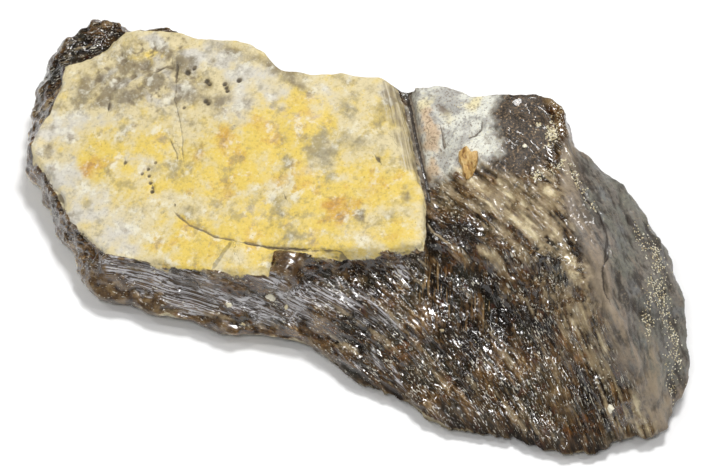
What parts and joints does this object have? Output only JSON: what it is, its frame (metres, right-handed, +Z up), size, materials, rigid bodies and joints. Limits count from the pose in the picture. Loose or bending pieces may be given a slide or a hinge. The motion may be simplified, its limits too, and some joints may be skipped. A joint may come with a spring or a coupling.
{
  "type": "fossil tyrannosaur bone section",
  "caption": "Broken length of fossil limb bone with smooth cream outer bone, a raised block beyond a crack and dark, splintered inner bone, lying on its underside.",
  "frame": {"origin": "centre of the bottom of the bone's box, on the surface it lies on", "axes": "+X along the bone's length towards the dark splintered end, +Y across it towards the raised back edge, +Z up"},
  "size_m": [0.1122, 0.049, 0.027],
  "materials": {
    "fossil_bone": "smooth cream and ochre outer bone, dark brown glossy broken inner bone"
  },
  "bodies": {
    "root": {"bone_section": "fossil_bone"}
  },
  "joints": []
}
